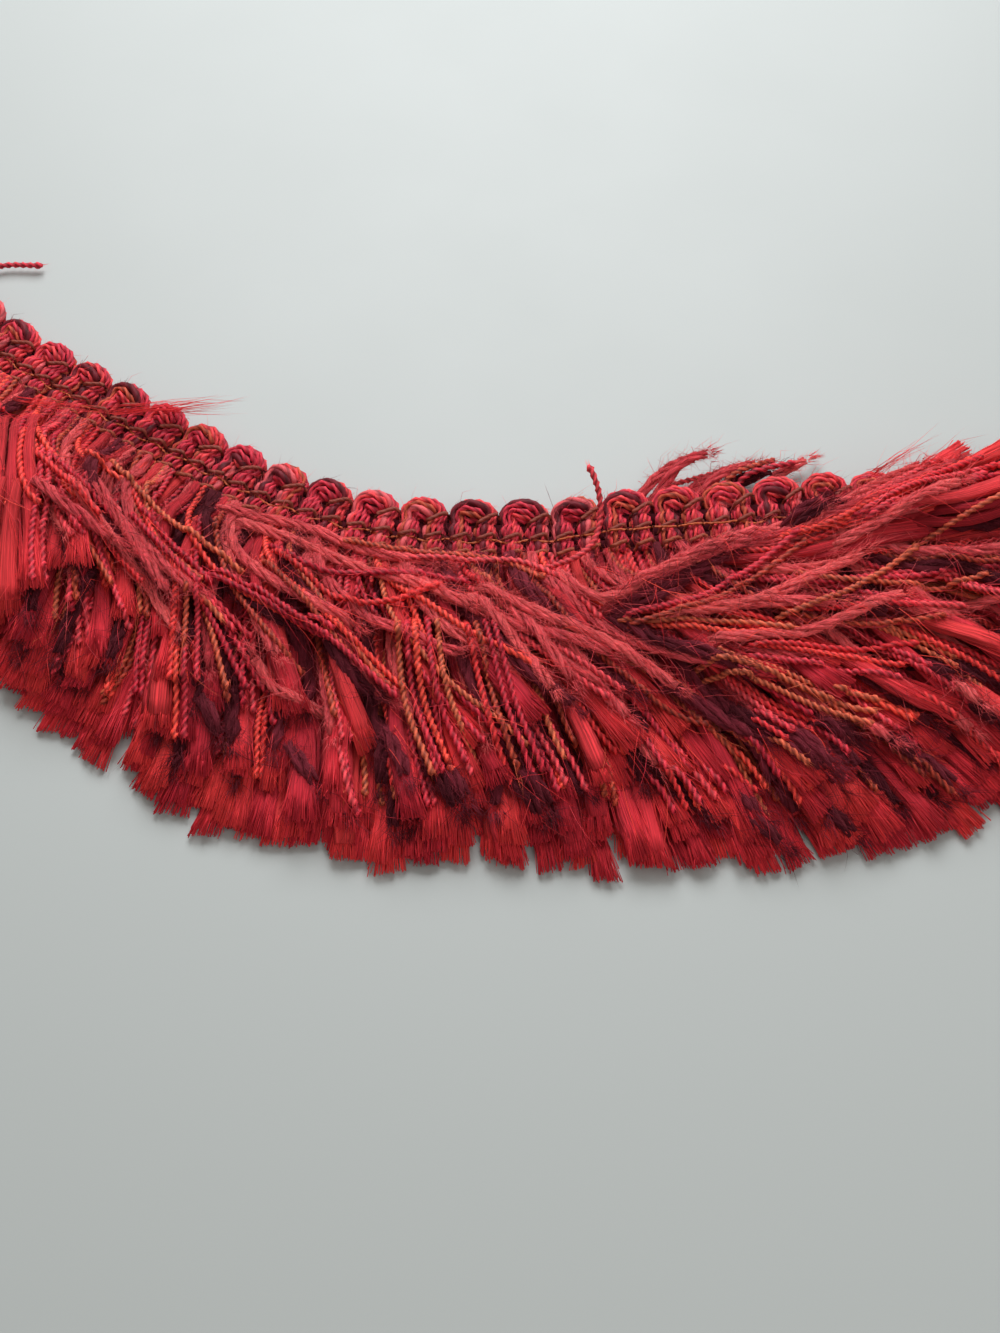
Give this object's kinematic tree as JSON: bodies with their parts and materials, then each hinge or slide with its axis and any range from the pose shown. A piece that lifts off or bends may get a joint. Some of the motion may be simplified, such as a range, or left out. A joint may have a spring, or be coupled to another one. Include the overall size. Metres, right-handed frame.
{
  "type": "brush fringe trim",
  "caption": "Cut length of brush fringe trim: a crocheted scalloped heading with a thick combed skirt of mixed red yarns, lying on its back in a shallow curve.",
  "frame": {"origin": "middle of the back of the heading, on its centre line and on the surface it lies on", "axes": "+X along the heading towards the side the skirt is combed to, +Y from the skirt to the scallops, +Z off the back"},
  "size_m": [0.251, 0.1174, 0.02],
  "materials": {
    "heading": "crocheted mixed yarn in crimson, vermilion, gold and maroon",
    "binder": "brown and gold two-ply thread",
    "red_floss": "satin untwisted filament",
    "maroon_wool": "hairy matt wool",
    "red_cord": "satin two-ply cord, crimson and vermilion",
    "gold_cord": "satin two-ply cord, ochre gold and brown",
    "coral_wool": "fluffy matt wool"
  },
  "bodies": {
    "root": {"heading_braid": "heading", "binder_far": "binder", "binder_middle": "binder", "binder_near": "binder", "skirt_floss": "red_floss", "skirt_maroon_wool": "maroon_wool", "skirt_red_cord": "red_cord", "skirt_gold_cord": "gold_cord", "skirt_coral_wool": "coral_wool"}
  },
  "joints": []
}
